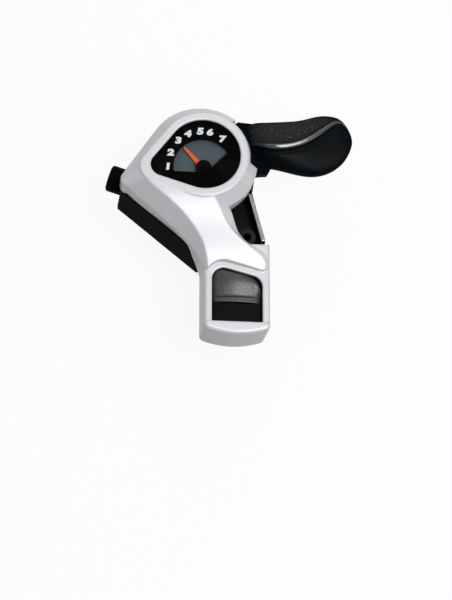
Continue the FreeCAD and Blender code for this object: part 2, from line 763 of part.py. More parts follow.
def make_pivot_nut():
    z = HUB_TOP + THRUST_GAP + WASHER_H
    return hexagon(NUT_FLAT, z, z + NUT_H, axis_point()).cut(bore(PIVOT_R + THREAD_FIT))


def make_wave_washer():
    return ring(WAVE_R, PIVOT_R + FIT_GAP, PLATE_TOP, PLATE_TOP + WAVE_H)


def leaf_reach():
    return INDEX_R + LEAF_THICK / 2 + LEAF_STAND


def lever_turn(gear):
    return (GEAR_ANGLES[gear - 1] - NEEDLE_REST) / RATIO


def dowel_holes():
    return [bore(DOWEL_R, about(DOWEL_PLACE_R, d)) for d in DOWEL_DIRS]


def make_index_plate():
    body = cyl(INDEX_R, INDEX_Z, SPOOL_Z)
    cuts = [bore(PIVOT_R + PIVOT_CLEAR)] + dowel_holes()
    for gear in range(1, len(GEAR_ANGLES) + 1):
        at = about(INDEX_R + DETENT_DEPTH, DETENT_DIR - lever_turn(gear))
        cuts.append(bore(DETENT_BUMP + DETENT_CLEAR, at))
    return cut_all(body, cuts)


def make_index_spring():
    z0 = INDEX_Z + LEAF_GAP
    z1 = SPOOL_Z - LEAF_GAP
    reach = leaf_reach()
    strip = box(reach - LEAF_THICK / 2, reach + LEAF_THICK / 2, -LEAF_HALF, LEAF_HALF, z0, z1)
    bump = Part.makeCylinder(DETENT_BUMP, z1 - z0, Vec(INDEX_R + DETENT_DEPTH, 0, z0))
    bump = bump.cut(box(reach, THROUGH, -THROUGH, THROUGH, 0, THROUGH))
    body = fuse_all([strip, bump])
    body.rotate(Vec(0, 0, 0), UPWARD, DETENT_DIR)
    body.translate(axis_point())
    return body


def make_cable_spool():
    edge = SPOOL_R + SPOOL_FLANGE
    groove = ring(edge + GROOVE_R, SPOOL_R - GROOVE_R, CABLE_Z - GROOVE_R, CABLE_Z + GROOVE_R)
    anchor = about(SPOOL_R - ANCHOR_R / 2, ANCHOR_DIR)
    cuts = [groove, bore(PIVOT_R + PIVOT_CLEAR), cyl(ANCHOR_R, CABLE_Z - GROOVE_R, HUB_Z - GROOVE_R, anchor)]
    return cut_all(cyl(edge, SPOOL_Z, HUB_Z), cuts + dowel_holes())


def make_drive_dowels():
    top = HUB_Z + HUB_H / 2
    return Part.makeCompound([cyl(DOWEL_R, INDEX_Z, top, about(DOWEL_PLACE_R, d)) for d in DOWEL_DIRS])


def tooth(r_root, r_tip, deg, at):
    """Straight-sided tooth between two radii about a point."""
    root, tip = TOOTH_ROOT_HALF, TOOTH_TIP_HALF
    pts = [(r_root, -root), (r_root, root), (r_tip, tip), (r_tip, -tip)]
    a = math.radians(deg)
    c, s = math.cos(a), math.sin(a)
    flat = [(at.x + x * c - y * s, at.y + x * s + y * c) for x, y in pts]
    if r_tip < r_root:
        flat.reverse()
    return prism(outline(flat), DRIVE_Z, DRIVE_TOP)


def make_drive_sector():
    pitch = MODULE * RING_TEETH / 2
    step = 360.0 / RING_TEETH
    inner = pitch + TOOTH_DED
    first = -90.0 - lever_turn(1) - DRIVE_END * step
    last = -90.0 - lever_turn(len(GEAR_ANGLES)) + DRIVE_END * step
    wall = ring(inner + DRIVE_WALL, inner, HUB_TOP, DRIVE_TOP)
    foot = ring(inner + DRIVE_WALL, DRIVE_FOOT_R, HUB_TOP, HUB_TOP + DRIVE_FOOT_H)
    shapes = [wall.fuse(foot).common(wedge(THROUGH, first, last, 0, THROUGH))]
    for i in range(RING_TEETH):
        deg = -90.0 + (i + 0.5 - RING_TEETH / 2) * step
        if first + step / 4 < deg < last - step / 4:
            shapes.append(tooth(inner + TOOTH_LAP, pitch - TOOTH_ADD, deg, axis_point()))
    return fuse_all(shapes)


def make_needle_pinion():
    pitch = MODULE * PINION_TEETH / 2
    c = plan(0, 0)
    core = pitch - TOOTH_DED
    shapes = [cyl(core, DRIVE_Z, DRIVE_TOP, c), cyl(SHAFT_R, DRIVE_Z, NEEDLE_Z + NEEDLE_THICK, c)]
    for i in range(PINION_TEETH):
        shapes.append(tooth(core - TOOTH_LAP, pitch + TOOTH_ADD, -90.0 + 360.0 * i / PINION_TEETH, c))
    return fuse_all(shapes)


def make_indicator_needle():
    a = math.radians(NEEDLE_REST)
    pts = [(0, -NEEDLE_ROOT_HALF), (NEEDLE_LENGTH, -NEEDLE_TIP_HALF),
           (NEEDLE_LENGTH, NEEDLE_TIP_HALF), (0, NEEDLE_ROOT_HALF)]
    flat = [plan(x * math.cos(a) - y * math.sin(a), x * math.sin(a) + y * math.cos(a)) for x, y in pts]
    top = NEEDLE_Z + NEEDLE_THICK
    eye = cyl(NEEDLE_EYE_R, NEEDLE_Z, top, plan(0, 0))
    return fuse_all([prism(outline(flat), NEEDLE_Z, top), eye]).cut(bore(SHAFT_R, plan(0, 0)))


def lever_point(u, v, height):
    a = math.radians(LEVER_DIR)
    flat = Vec(u * math.cos(a) - v * math.sin(a), u * math.sin(a) + v * math.cos(a), 0)
    return axis_point(FLOOR_BOTTOM + height) + flat


def lever_section(u, v_lo, z_lo, v_rim, z_rim, v_hi, z_hi, z_under):
    """Closed section of the lever: bulged face up to the rim, hollow dish down to the far
    edge, and a rounded underside."""
    face_v, face_z = FACE_BULGE
    width = v_hi - v_lo
    dish = v_hi - v_rim
    pts = [
        lever_point(u, v_lo, z_lo),
        lever_point(u, v_rim - face_v * (v_rim - v_lo), z_lo + face_z * (z_rim - z_lo)),
        lever_point(u, v_rim, z_rim),
        lever_point(u, v_rim + DISH_MIDDLE * dish, (z_rim + z_hi) / 2 - DISH_DEPTH * dish),
        lever_point(u, v_hi, z_hi),
        lever_point(u, v_hi - FAR_TUCK * width, (z_hi + z_under) / 2),
        lever_point(u, (v_hi + v_lo) / 2, z_under),
        lever_point(u, v_lo + NEAR_TUCK * width, (z_lo + z_under) / 2),
    ]
    curve = Part.BSplineCurve()
    curve.interpolate(Points=pts, Parameters=list(range(len(pts) + 1)), PeriodicFlag=True)
    return curve


def skin(sections, places):
    """Solid through closed section curves that share their parameters, set at given places."""
    columns = []
    for poles in zip(*[c.getPoles() for c in sections]):
        column = Part.BSplineCurve()
        column.interpolate(Points=list(poles), Parameters=places)
        columns.append(column)
    first = sections[0]
    lead = columns[0]
    surface = Part.BSplineSurface()
    surface.buildFromPolesMultsKnots(
        [c.getPoles() for c in columns], first.getMultiplicities(), lead.getMultiplicities(),
        first.getKnots(), lead.getKnots(), True, False, first.Degree, lead.Degree)
    side = surface.toShape()
    ends = [Part.Face(Part.Wire([c.toShape()])) for c in (sections[0], sections[-1])]
    shell = Part.Shell([side] + ends)
    shell.sewShape()
    solid = Part.Solid(shell)
    if solid.Volume < 0:
        solid.reverse()
    return solid


def lever_root():
    """Flat root of the lever, from the hub out to the thumb paddle."""
    pts = [plan(x, y) for x, y in ROOT_CORNERS]
    pts += [about(ROOT_INNER_R, ROOT_TO), about(ROOT_INNER_R, ROOT_FROM)]
    return prism(outline(pts, ROOT_RADII + (0, 0)), ROOT_Z, ROOT_TOP)


def make_thumb_lever():
    paddle = skin([lever_section(*s) for s in LEVER_SECTIONS], [s[0] for s in LEVER_SECTIONS])
    root = lever_root().cut(cyl(HUB_R + ROOT_GAP, 0, HUB_Z)).Solids[0]
    hub = cyl(HUB_R, HUB_Z, HUB_TOP)
    drum_r = HUB_R - DRUM_STEP
    drum = arc_wall(drum_r, drum_r - DRUM_WALL, DRUM_FROM, DRUM_TO, HUB_TOP - DRUM_SINK, SEAT_Z - RUN_GAP)
    body = hub.fuse(drum).fuse(root).fuse(paddle).removeSplitter()
    top = HUB_Z + HUB_H / 2
    holes = [cyl(DOWEL_R, 0, top, about(DOWEL_PLACE_R, d)) for d in DOWEL_DIRS]
    return cut_all(body, [bore(PIVOT_R + PIVOT_CLEAR)] + holes)


def make_clamp_band():
    half = BAND_WIDTH / 2
    loop = bar_round(BAR_R + BAND_THICK, half).cut(bar_round(BAR_R))
    loop = loop.cut(box(-THROUGH, THROUGH, 0, THROUGH, 0, THROUGH))
    loop = loop.cut(box(-THROUGH, THROUGH, -THROUGH, 0, LUG_TOP, THROUGH))
    lug = box(-half, half, CLAMP_BOLT_Y - LUG_MARGIN, -BAR_R - FIT_GAP, LUG_BOTTOM, LUG_TOP)
    tail = box(-half, half, BAR_R, BAR_R + BAND_THICK, 0, HOOK_Z)
    eye = Part.makeCylinder(HOOK_EYE_R, BAND_WIDTH, Vec(-half, HOOK_Y, HOOK_Z), ALONG_X)
    body = fuse_all([loop, lug, tail, eye]).cut(hook_pin_rod(HOOK_PIN_R + THREAD_FIT))
    return body.cut(bore(CLAMP_BOLT_R + CLAMP_BOLT_CLEAR, Vec(0, CLAMP_BOLT_Y, 0)))


def make_hook_pin():
    return hook_pin_rod(HOOK_PIN_R)


def make_clamp_bolt():
    at = Vec(0, CLAMP_BOLT_Y, 0)
    top = BOLT_SEAT + BOLT_HEAD_H
    low = LUG_BOTTOM - BOLT_TAIL
    body = fuse_all([cyl(BOLT_HEAD_R, BOLT_SEAT, top, at), cyl(CLAMP_BOLT_R, low, BOLT_SEAT, at)])
    return body.cut(hexagon(BOLT_KEY, top - BOLT_KEY_DEPTH, top + BOLT_SINK, at))


def make_clamp_nut():
    half = CLAMP_NUT_HALF
    nut = box(-half, half, CLAMP_BOLT_Y - half, CLAMP_BOLT_Y + half, LUG_BOTTOM - CLAMP_NUT_H, LUG_BOTTOM)
    return nut.cut(bore(CLAMP_BOLT_R + THREAD_FIT, Vec(0, CLAMP_BOLT_Y, 0)))


def make_cover_screws():
    screws = []
    low = FLOOR_BOTTOM + SCREW_SINK
    half = SCREW_SLOT / 2
    for p in screw_points():
        head = cyl(SCREW_HEAD_R, low, SCREW_SEAT, p)
        slot = box(p.x - SCREW_HEAD_R, p.x + SCREW_HEAD_R, p.y - half, p.y + half, low, low + SCREW_SLOT)
        cross = box(p.x - half, p.x + half, p.y - SCREW_HEAD_R, p.y + SCREW_HEAD_R, low, low + SCREW_SLOT)
        recess = slot.fuse(cross).common(bore(SCREW_CROSS_R, p))
        screws.append(fuse_all([head.cut(recess), cyl(SCREW_R, SCREW_SEAT, SCREW_END, p)]))
    return Part.makeCompound(screws)


def make_adjuster_knob():
    end = KNOB_START + KNOB_LENGTH
    body = Part.makeCylinder(KNOB_R, KNOB_LENGTH, Vec(KNOB_START, 0, 0), ALONG_X)
    body = body.makeFillet(KNOB_ROUND, [e for e in body.Edges if e.BoundBox.XMin > end - TOUCH])
    body = knob_place(body)
    return body.cut(rod(SOCKET_R, end - SOCKET_DEPTH, end + SOCKET_DEPTH)).cut(rod(SPIGOT_R, 0, end))


def make_adjuster_bolt():
    shank = rod(ADJUST_BOLT_R, KNOB_START - ADJUST_THREAD, KNOB_START)
    spigot = rod(SPIGOT_R, KNOB_START - SPIGOT_LENGTH, KNOB_START + SPIGOT_LENGTH)
    return fuse_all([shank, spigot]).cut(rod(CABLE_HOLE_R, 0, THROUGH))


def make_detent_washer():
    stop = KNOB_START - DETENT_WASHER_GAP
    outer = rod(WELL_R - FIT_GAP, stop - DETENT_WASHER_H, stop)
    return outer.cut(rod(ADJUST_BOLT_R + ADJUST_CLEAR, 0, THROUGH))


def make_adjuster_spring():
    """Coil of square wire between the well's floor and the detent washer."""
    half = SPRING_WIRE / 2
    s0 = WELL_START + half
    length = KNOB_START - DETENT_WASHER_GAP - DETENT_WASHER_H - half - s0
    helix = Part.makeHelix(length / SPRING_TURNS, length, SPRING_COIL_R)
    near = SPRING_COIL_R - half
    far = SPRING_COIL_R + half
    corners = [Vec(near, 0, -half), Vec(far, 0, -half), Vec(far, 0, half), Vec(near, 0, half)]
    wire = Part.makePolygon(corners + corners[:1])
    coil = Part.Wire(helix.Edges).makePipeShell([wire], True, True)
    coil.rotate(Vec(0, 0, 0), ALONG_Y, 90)
    coil.translate(Vec(s0, 0, 0))
    return knob_place(coil)


NODES = {
    "base_housing": make_base_housing,
    "top_cover": make_top_cover,
    "dial_plate": make_dial_plate,
    "dial_backing": make_dial_backing,
    "dial_lens": make_dial_lens,
    "bolt_cap": make_bolt_cap,
    "steel_bracket": make_steel_bracket,
    "pivot_bolt": make_pivot_bolt,
    "pivot_nut": make_pivot_nut,
    "thrust_washer": make_thrust_washer,
    "wave_washer": make_wave_washer,
    "index_spring": make_index_spring,
    "clamp_band": make_clamp_band,
    "clamp_bolt": make_clamp_bolt,
    "clamp_nut": make_clamp_nut,
    "hook_pin": make_hook_pin,
    "cover_screws": make_cover_screws,
    "thumb_lever": make_thumb_lever,
    "cable_spool": make_cable_spool,
    "index_plate": make_index_plate,
    "drive_dowels": make_drive_dowels,
    "drive_sector": make_drive_sector,
    "needle_pinion": make_needle_pinion,
    "indicator_needle": make_indicator_needle,
    "adjuster_knob": make_adjuster_knob,
    "adjuster_bolt": make_adjuster_bolt,
    "detent_washer": make_detent_washer,
    "adjuster_spring": make_adjuster_spring,
}

os.makedirs("parts", exist_ok=True)
for name, make in NODES.items():
    shape = make()
    print(name, shape.isValid(), len(shape.Solids), round(shape.Volume, 1))
    shape.exportStep("parts/" + name + ".step")
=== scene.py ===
import json
import math

import bpy
import numpy as np
from mathutils import Matrix, Vector


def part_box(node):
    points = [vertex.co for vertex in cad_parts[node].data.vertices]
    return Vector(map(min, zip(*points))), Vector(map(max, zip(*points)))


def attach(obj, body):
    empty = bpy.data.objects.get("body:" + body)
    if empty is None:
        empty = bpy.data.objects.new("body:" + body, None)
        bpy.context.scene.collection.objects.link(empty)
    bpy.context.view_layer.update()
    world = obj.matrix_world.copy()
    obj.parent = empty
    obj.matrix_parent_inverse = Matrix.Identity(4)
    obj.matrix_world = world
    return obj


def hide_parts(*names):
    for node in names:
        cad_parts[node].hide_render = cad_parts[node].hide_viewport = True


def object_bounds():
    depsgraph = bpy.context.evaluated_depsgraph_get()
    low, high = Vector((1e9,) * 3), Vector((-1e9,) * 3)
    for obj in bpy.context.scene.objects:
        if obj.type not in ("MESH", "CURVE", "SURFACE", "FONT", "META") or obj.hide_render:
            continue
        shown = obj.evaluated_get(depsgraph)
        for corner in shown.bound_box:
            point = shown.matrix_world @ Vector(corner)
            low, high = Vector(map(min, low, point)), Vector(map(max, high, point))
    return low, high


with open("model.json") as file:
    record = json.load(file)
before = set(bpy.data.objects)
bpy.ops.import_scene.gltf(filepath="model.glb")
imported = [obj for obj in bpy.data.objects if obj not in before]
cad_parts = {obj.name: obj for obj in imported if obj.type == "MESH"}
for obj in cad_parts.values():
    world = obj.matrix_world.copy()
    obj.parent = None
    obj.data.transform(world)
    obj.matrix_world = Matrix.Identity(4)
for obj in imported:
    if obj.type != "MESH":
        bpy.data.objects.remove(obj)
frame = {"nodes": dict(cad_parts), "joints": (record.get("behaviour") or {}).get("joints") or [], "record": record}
CAD_BOUNDS = [[float(c) for c in corner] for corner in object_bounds()]

bl_info = {
    "name": "Thumb shifter",
    "version": (1, 0, 0),
    "blender": (4, 5, 0),
    "location": "View3D > Sidebar > Shifter",
    "description": "Dresses the thumb shifter with its finishes, numbers and moulded skins",
    "category": "Object",
}

# Lengths are in millimetres here, except in the properties and on the stage.
MM = 0.001
NODES = frame["nodes"]
JOINTS = {j["name"]: j for j in frame["joints"]}
MOUNTS = {m["name"]: m for m in frame["record"]["mounts"]}
LEVER_AXIS = np.array(JOINTS["lever_swing"]["pos_m"]) / MM
NEEDLE_AXIS = np.array(JOINTS["needle_turn"]["pos_m"]) / MM
DIAL_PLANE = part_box("top_cover")[1].z / MM
# The housing's underside is level with the top of the bar.
UNDERSIDE = MOUNTS["handlebar_clamp"]["dims"]["r_mm"]


def colour_of(name, description, default):
    """Colour that the user can change."""
    return bpy.props.FloatVectorProperty(
        name=name, description=description, size=3, subtype="COLOR", default=default)


def length_of(name, description, default):
    """Length that the user can change: the default is in millimetres and is kept in metres."""
    return bpy.props.FloatProperty(
        name=name, description=description, unit="LENGTH", precision=5, default=default * MM)


class ShifterColours(bpy.types.PropertyGroup):
    """Colours of the finishes"""
    silver: colour_of("Cover", "Paint of the cover", (0.86, 0.87, 0.89))
    black: colour_of("Plastic", "Moulded black plastic", (0.0022, 0.0036, 0.0048))
    dial: colour_of("Dial", "Plate of the dial", (0.003, 0.003, 0.0035))
    backing: colour_of("Backing", "Grey behind the needle", (0.098, 0.122, 0.135))
    needle: colour_of("Needle", "Needle of the dial", (0.90, 0.14, 0.07))
    figures: colour_of("Figures", "Printed gear numbers", (0.85, 0.86, 0.87))
    inner: colour_of("Inner plastic", "Spool, gears and washer", (0.75, 0.75, 0.72))
    steel: colour_of("Steel", "Plated bolts, nuts and band", (0.55, 0.55, 0.56))
    spring: colour_of("Spring steel", "Springs and index plate", (0.5, 0.5, 0.51))
    rim: colour_of("Bracket rim", "Bright rim of the bracket", (0.72, 0.72, 0.73))
    # The bracket plate's colour is painted shade for the gap round the bracket.
    plate: colour_of("Bracket plate", "Blackened face of the bracket", (0.004, 0.004, 0.005))
    edge: colour_of("Edge", "Plated edge of the tray", (0.62, 0.63, 0.63))


class ShifterSizes(bpy.types.PropertyGroup):
    """Sizes of the skins and the print"""
    number_height: length_of("Number height", "Height of a gear number", 2.9)
    number_lift: length_of("Number lift", "Height of the print over the dial", 0.03)
    cap_half: length_of("Cap half width", "Half of the cap's width", 9.35)
    cap_corner: length_of("Cap corner", "Radius of the cap's far corners in plan", 4.3)
    cap_edge: length_of("Cap edge", "Radius of the cap's side edges", 1.9)
    drum_wall: length_of("Drum wall", "Thickness of the lever's drum", 1.3)


class Sock:
    """A shader socket that takes part in plain arithmetic: each operator adds one Math node."""

    def __init__(self, finish, socket):
        self.finish = finish
        self.socket = socket

    def _math(self, operation, a, b):
        return self.finish.node("ShaderNodeMath", {"operation": operation}, {0: a, 1: b})

    def __add__(self, other):
        return self._math("ADD", self, other)

    def __radd__(self, other):
        return self._math("ADD", other, self)

    def __sub__(self, other):
        return self._math("SUBTRACT", self, other)

    def __rsub__(self, other):
        return self._math("SUBTRACT", other, self)

    def __mul__(self, other):
        return self._math("MULTIPLY", self, other)

    def __rmul__(self, other):
        return self._math("MULTIPLY", other, self)


def rgba(colour):
    """Opaque colour from three values."""
    return (colour[0], colour[1], colour[2], 1.0)


class Finish:
    """One material: node() adds any shader node, and the rest are short forms built on it."""

    def __init__(self, name):
        self.material = bpy.data.materials.new(name)
        self.material.use_nodes = True
        self.tree = self.material.node_tree
        self.tree.nodes.clear()
        self.out = self.tree.nodes.new("ShaderNodeOutputMaterial")

    def node(self, kind, settings=None, inputs=None, out=0):
        """Adds a node, with its settings first and then its sockets, and gives one output."""
        made = self.tree.nodes.new(kind)
        for key, value in (settings or {}).items():
            if key == "stops":
                for stop, (place, colour) in zip(made.color_ramp.elements, value):
                    stop.position = place
                    stop.color = colour
            else:
                setattr(made, key, value)
        for key, value in (inputs or {}).items():
            if isinstance(value, Sock):
                self.tree.links.new(value.socket, made.inputs[key])
            else:
                made.inputs[key].default_value = value
        return Sock(self, made.outputs[out])

    def place(self, stretch=(1.0, 1.0, 1.0)):
        """Object coordinates in millimetres, stretched along each axis."""
        coord = self.node("ShaderNodeTexCoord", out="Object")
        scale = [s / MM for s in stretch]
        return self.node("ShaderNodeMapping", None, {"Vector": coord, "Scale": scale})

    def noise(self, waves, detail=2.0, roughness=0.5, stretch=(1.0, 1.0, 1.0)):
        """Noise between 0 and 1 with that many waves per millimetre."""
        inputs = {"Vector": self.place(stretch), "Scale": waves, "Detail": detail,
                  "Roughness": roughness}
        return self.node("ShaderNodeTexNoise", None, inputs)

    def fade(self, value, low, high):
        """0 up to low, 1 from high, and even between them."""
        return self.node("ShaderNodeMapRange", None, {0: value, 1: low, 2: high})

    def speckle(self, value, low, high):
        """Black up to low and white from high."""
        stops = [(low, rgba((0, 0, 0))), (high, rgba((1, 1, 1)))]
        return self.node("ShaderNodeValToRGB", {"stops": stops}, {0: value})

    def mix(self, factor, a, b):
        """Colour a where factor is 0 and colour b where it is 1. A Mix node has its colours in
        sockets 6 and 7 and gives the mixed colour in output 2."""
        a, b = (c if isinstance(c, Sock) else rgba(c) for c in (a, b))
        return self.node("ShaderNodeMix", {"data_type": "RGBA"}, {0: factor, 6: a, 7: b}, 2)

    def shades(self, factor, colour, low, high=1.0):
        """The colour times low where factor is 0, and times high where it is 1."""
        return self.mix(factor, [c * low for c in colour], [c * high for c in colour])

    def bump(self, height, strength, depth, normal=None):
        """Normal tilted by a height that varies by a depth in millimetres."""
        inputs = {"Strength": strength, "Distance": depth * MM, "Height": height}
        if normal is not None:
            inputs["Normal"] = normal
        return self.node("ShaderNodeBump", None, inputs)

    def soft_edges(self, radius):
        """Normal that rounds the edges of the mesh by a radius in millimetres."""
        return self.node("ShaderNodeBevel", {"samples": 8}, {"Radius": radius * MM})

    def mark(self, name):
        """Value of a mark that the mesh carries."""
        return self.node("ShaderNodeAttribute", {"attribute_name": name}, out="Fac")

    def surface(self, **inputs):
        """Closes the material with one main shader, its sockets named with underscores."""
        named = {key.replace("_", " "): value for key, value in inputs.items()}
        return self.close(self.node("ShaderNodeBsdfPrincipled", None, named))

    def close(self, shader):
        """Links the shader to the output and gives the material."""
        self.tree.links.new(shader.socket, self.out.inputs["Surface"])
        return self.material


# Greys of the textured dish, dark and light, and of its specks; the bead's grey, a painted highlight;
# the crown's greys, painted sheen over a grain; and the index of the coat that makes them shine.
DISH_GREYS = ((0.010, 0.011, 0.012), (0.040, 0.042, 0.043))
DISH_SPECK = (0.20, 0.21, 0.21)
BEAD_HIGHLIGHT_GREY = (0.060, 0.063, 0.066)
CAP_SHEEN_GREYS = ((0.006, 0.007, 0.008), (0.060, 0.063, 0.066))
WORN_COAT_IOR = 1.9


def silver_paint(colour):
    """Painted moulding: metal flake, faint clouds and softly rounded edges."""
    f = Finish("silver_paint")
    flake = f.noise(2.4, detail=4.0, roughness=0.8)
    cloud = f.noise(0.08)
    tint = f.shades(flake * 0.7 + cloud * 0.3, colour, 0.84)
    normal = f.bump(flake, 0.04, depth=0.02, normal=f.soft_edges(1.4))
    return f.surface(Base_Color=tint, Metallic=0.06 + flake * 0.12,
                     Roughness=0.33 + flake * 0.06, Normal=normal, Specular_IOR_Level=0.4)


def black_plastic(name, colour):
    """Moulded plastic with a fine grain, faint clouds and softened edges."""
    f = Finish(name)
    fine = f.noise(4.0, detail=3.0, roughness=0.6)
    tint = f.shades(f.noise(0.15), colour, 0.8, 1.2)
    normal = f.bump(fine, 0.10, depth=0.06, normal=f.soft_edges(0.35))
    return f.surface(Base_Color=tint, Roughness=0.42 + fine * 0.08, Normal=normal,
                     Specular_IOR_Level=0.01)


def lever_plastic(colour):
    """Smooth black plastic. Two marks on the mesh vary it: the dish is coarse and speckled, and
    the bead on the rim has a glossy coat and a lighter grey that is a painted highlight."""
    f = Finish("lever_plastic")
    dish = f.mark("dish")
    bead = f.mark("bead")
    grain = f.noise(1.3, detail=4.0, roughness=0.75)
    speck = f.speckle(f.noise(1.5, detail=3.0, roughness=0.6), 0.64, 0.70)
    dusty = f.mix(speck, f.mix(grain, *DISH_GREYS), DISH_SPECK)
    # The bead's lighter grey is a painted highlight.
    tint = f.mix(bead, f.mix(dish, colour, dusty), BEAD_HIGHLIGHT_GREY)
    rough = 0.40 + dish * 0.12 + grain * 0.05 - bead * 0.08
    return f.surface(Base_Color=tint, Roughness=rough, Normal=f.bump(grain * dish, 0.9, depth=0.25),
                     Specular_IOR_Level=0.06, Coat_Weight=bead, Coat_Roughness=0.2,
                     Coat_IOR=WORN_COAT_IOR)


def cap_plastic(colour):
    """Black plastic whose crown, marked by the mesh, has a grainy glossy coat and a lighter grainy colour that is
    painted sheen.
    """
    f = Finish("cap_plastic")
    sheen = f.mark("sheen")
    grain = f.noise(2.0, detail=4.0, roughness=0.8)
    # The lighter colour on the crown is painted sheen, with the grain in it.
    tint = f.mix(sheen, colour, f.mix(grain, *CAP_SHEEN_GREYS))
    glint = f.fade(grain, 0.36, 0.64)
    return f.surface(Base_Color=tint, Roughness=0.45 + grain * 0.1,
                     Normal=f.bump(grain, 0.5, depth=0.12), Specular_IOR_Level=0.06,
                     Coat_Weight=sheen * (0.3 + 0.7 * glint), Coat_Roughness=0.38,
                     Coat_IOR=WORN_COAT_IOR)


def smooth_plastic(name, colour, rough, shine=0.3):
    """Smooth plastic or print with the faintest clouds."""
    f = Finish(name)
    cloud = f.noise(0.4)
    return f.surface(Base_Color=f.shades(cloud, colour, 0.96), Roughness=rough + cloud * 0.04,
                     Specular_IOR_Level=shine)


def plated_steel(name, colour, rough):
    """Plated steel with fine streaks along X."""
    f = Finish(name)
    streak = f.noise(1.0, detail=3.0, stretch=(0.3, 6.0, 6.0))
    return f.surface(Base_Color=f.shades(streak, colour, 0.85), Metallic=1.0,
                     Roughness=rough + streak * 0.12, Normal=f.soft_edges(0.2))


def bracket_steel(rim, plate, low, high, post, post_r):
    """Plate with fine streaks along Y, near black as a painted shade, whose upstanding rim turns
    bright between two heights, but not within a radius of the post, where the painted shade stays."""
    f = Finish("bracket_steel")
    where = f.place()
    height = f.node("ShaderNodeSeparateXYZ", None, {0: where}, "Z")
    plan = f.node("ShaderNodeVectorMath", {"operation": "MULTIPLY"}, {0: where, 1: (1, 1, 0)})
    away = f.node("ShaderNodeVectorMath", {"operation": "DISTANCE"}, {0: plan, 1: post}, "Value")
    clear = f.fade(away, post_r, post_r + 0.3)
    # Below the rim's top and round the post, the plate's near black is painted shade.
    bright = f.fade(height, low, high) * (0.02 + 0.98 * clear)
    streak = f.noise(1.0, detail=3.0, stretch=(6.0, 0.3, 6.0))
    tint = f.mix(bright, plate, f.shades(streak, rim, 0.7))
    return f.surface(Base_Color=tint, Metallic=bright * 0.4, Roughness=0.32 + streak * 0.12,
                     Normal=f.soft_edges(0.2), Specular_IOR_Level=0.1)


def clear_lens():
    """Clear plastic that reflects a little on its outer side only."""
    f = Finish("clear_lens")
    clear = f.node("ShaderNodeBsdfTransparent", None, {"Color": rgba((0.98, 0.985, 0.99))})
    gloss = f.node("ShaderNodeBsdfGlossy", None, {"Roughness": 0.06})
    outer = 1.0 - f.node("ShaderNodeNewGeometry", out="Backfacing")
    share = f.node("ShaderNodeFresnel", None, {"IOR": 1.06}) * outer
    return f.close(f.node("ShaderNodeMixShader", None, {0: share, 1: clear, 2: gloss}))


def paint(names, material):
    """Gives some of the solids a finish."""
    for name in names:
        mesh = NODES[name].data
        mesh.materials.clear()
        mesh.materials.append(material)


def add_piece(name, points, faces, material, body, slot, smooth=True):
    """Mesh object from points in millimetres, riding on a body."""
    mesh = bpy.data.meshes.new(name)
    mesh.from_pydata((np.asarray(points) * MM).tolist(), [], faces)
    mesh.validate()
    if smooth:
        mesh.shade_smooth()
    else:
        mesh.shade_flat()
    mesh.materials.append(material)
    piece = bpy.data.objects.new(name, mesh)
    bpy.context.scene.collection.objects.link(piece)
    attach(piece, body)
    return piece


def add_mark(piece, name, values):
    """Stores one value for each point, for the finish to read."""
    mark = piece.data.attributes.new(name, "FLOAT", "POINT")
    mark.data.foreach_set("value", values.astype(np.float32))


def grid_quads(rows, columns, loop=False, flip=False):
    """Quads of a grid of points stored row by row, closed across the columns and, with loop,
    from the last row to the first. flip turns the faces round."""
    spans = np.arange(rows if loop else rows - 1)
    i, j = np.meshgrid(spans, np.arange(columns), indexing="ij")
    here = i * columns
    there = (i + 1) % rows * columns
    k = (j + 1) % columns
    quads = np.stack([here + j, here + k, there + k, there + j], -1).reshape(-1, 4)
    return (quads[:, ::-1] if flip else quads).tolist()


def tube_faces(rows, columns, flip=False):
    """Quads of a tube of points stored row by row, and a face over each of its ends."""
    step = -1 if flip else 1
    ring = np.arange(columns)
    ends = [ring[::-step].tolist(), (ring + (rows - 1) * columns)[::step].tolist()]
    return grid_quads(rows, columns, flip=flip) + ends


def spline_through(values, count, flat_end):
    """Cubic spline through the rows of values, sampled at count even places. The first end is
    free, and columns marked in flat_end arrive at the last row with no slope."""
    n = len(values)
    system = np.zeros((n, n))
    right = np.zeros_like(values)
    inner = np.arange(1, n - 1)
    system[inner, inner - 1] = 1
    system[inner, inner] = 4
    system[inner, inner + 1] = 1
    right[1:-1] = 3 * (values[2:] - values[:-2])
    system[0, :2] = (2, 1)
    right[0] = 3 * (values[1] - values[0])
    system[-1, -2:] = (1, 2)
    right[-1] = 3 * (values[-1] - values[-2])
    free = np.linalg.solve(system, right)
    system[-1, -2:] = (0, 1)
    right[-1] = 0
    slopes = np.where(flat_end, np.linalg.solve(system, right), free)
    t = np.linspace(0, n - 1, count)
    i = np.minimum(t.astype(int), n - 2)
    s = (t - i)[:, None]
    a, b, da, db = values[i], values[i + 1], slopes[i], slopes[i + 1]
    return (a * (1 + 2 * s) * (1 - s) ** 2 + da * s * (1 - s) ** 2
            + b * s * s * (3 - 2 * s) + db * s * s * (s - 1))


def closed_curve(points, per_span):
    """Even cubic curve round a closed polygon of control points, given as (..., corner, axis).
    Each span blends four neighbours with the weights of a uniform cubic B-spline."""
    s = np.linspace(0, 1, per_span, endpoint=False)
    weights = np.stack([(1 - s) ** 3, 3 * s ** 3 - 6 * s ** 2 + 4,
                        -3 * s ** 3 + 3 * s ** 2 + 3 * s + 1, s ** 3]) / 6
    parts = np.stack([np.roll(points, 1 - k, axis=-2) for k in range(4)])
    spans = np.einsum("ks,k...ca->...csa", weights, parts)
    return spans.reshape(points.shape[:-2] + (-1, points.shape[-1]))


